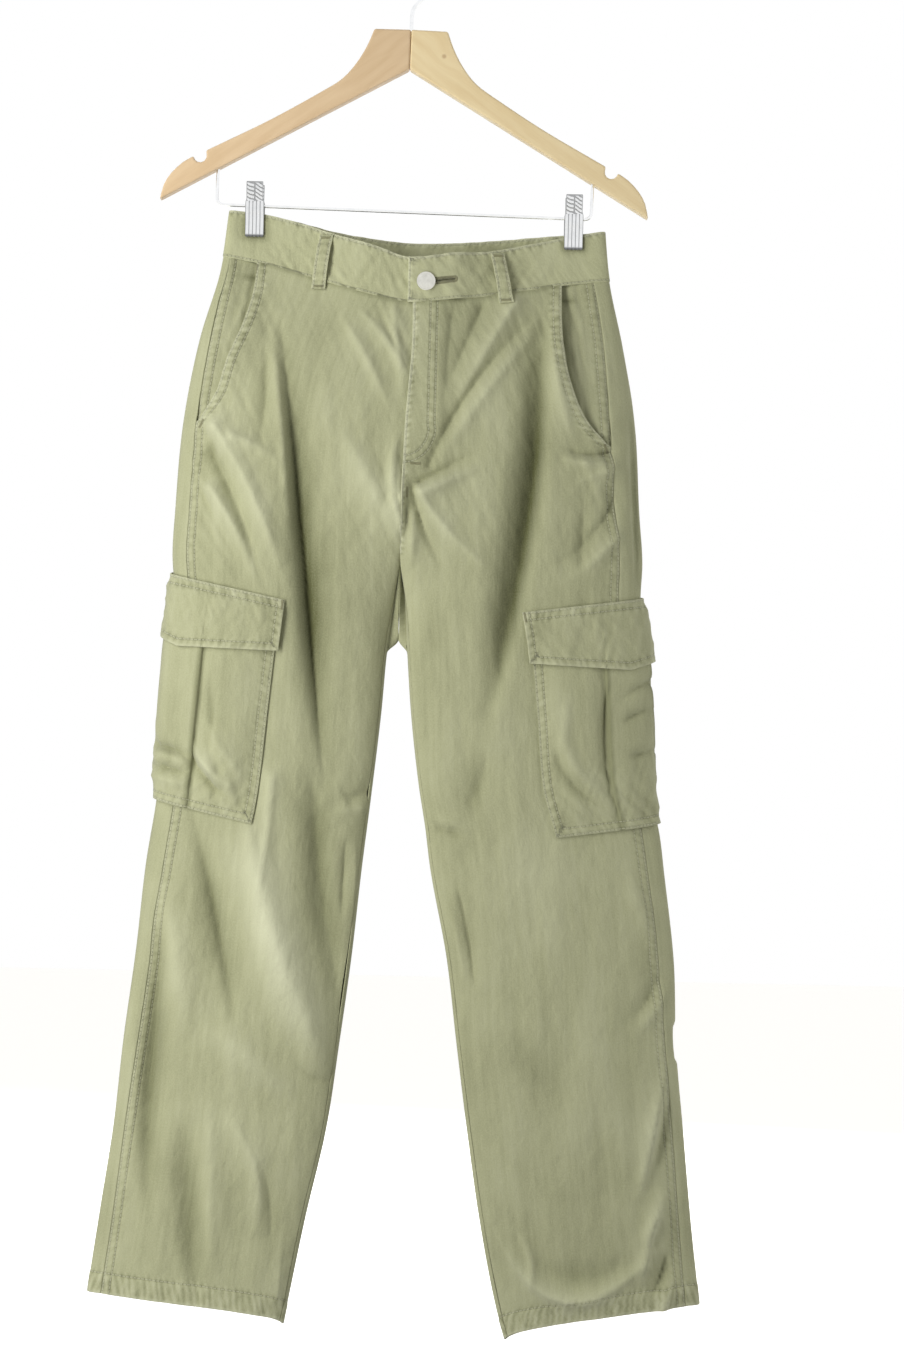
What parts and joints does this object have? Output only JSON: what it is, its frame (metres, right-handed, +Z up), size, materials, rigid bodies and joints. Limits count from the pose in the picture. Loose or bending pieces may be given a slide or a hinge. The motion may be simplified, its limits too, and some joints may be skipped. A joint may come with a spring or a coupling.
{
  "type": "cargo trousers hung from a wooden clip hanger",
  "caption": "Straight-leg cotton cargo trousers with slant and flapped side pockets, held at the waist by the clips of a wooden hanger.",
  "frame": {"origin": "inside top of the hanger's hook, where the rail carries it", "axes": "+X to the wearer's left, -Y out of the front of the trousers, +Z up"},
  "size_m": [0.5593, 0.0669, 1.2717],
  "materials": {
    "twill": "washed sage-green cotton twill, matt",
    "zip_cloth": "woven zip tape with its teeth",
    "zip_metal": "plain zip slider",
    "button_metal": "satin silver shank button, plain",
    "hanger_wood": "clear-lacquered pale maple",
    "hanger_wire": "bright plated wire",
    "clip_metal": "bright plated pressed steel"
  },
  "bodies": {
    "root": {"front_right": "twill", "front_left": "twill", "back_right": "twill", "back_left": "twill", "waistband": "twill", "belt_loop_1": "twill", "belt_loop_2": "twill", "belt_loop_3": "twill", "belt_loop_4": "twill", "belt_loop_5": "twill", "fly_shield": "twill", "zip_tape": "zip_cloth", "zip_slider": "zip_metal", "waist_button": "button_metal", "hip_facing_right": "twill", "hip_facing_left": "twill", "cargo_pocket_right": "twill", "cargo_pocket_left": "twill", "cargo_flap_right": "twill", "cargo_flap_left": "twill", "hanger_arm_right": "hanger_wood", "hanger_arm_left": "hanger_wood", "hanger_hook": "hanger_wire", "hanger_bar": "hanger_wire", "clip_right_front": "clip_metal", "clip_right_back": "clip_metal", "clip_right_spring": "clip_metal", "clip_left_front": "clip_metal", "clip_left_back": "clip_metal", "clip_left_spring": "clip_metal"}
  },
  "joints": []
}
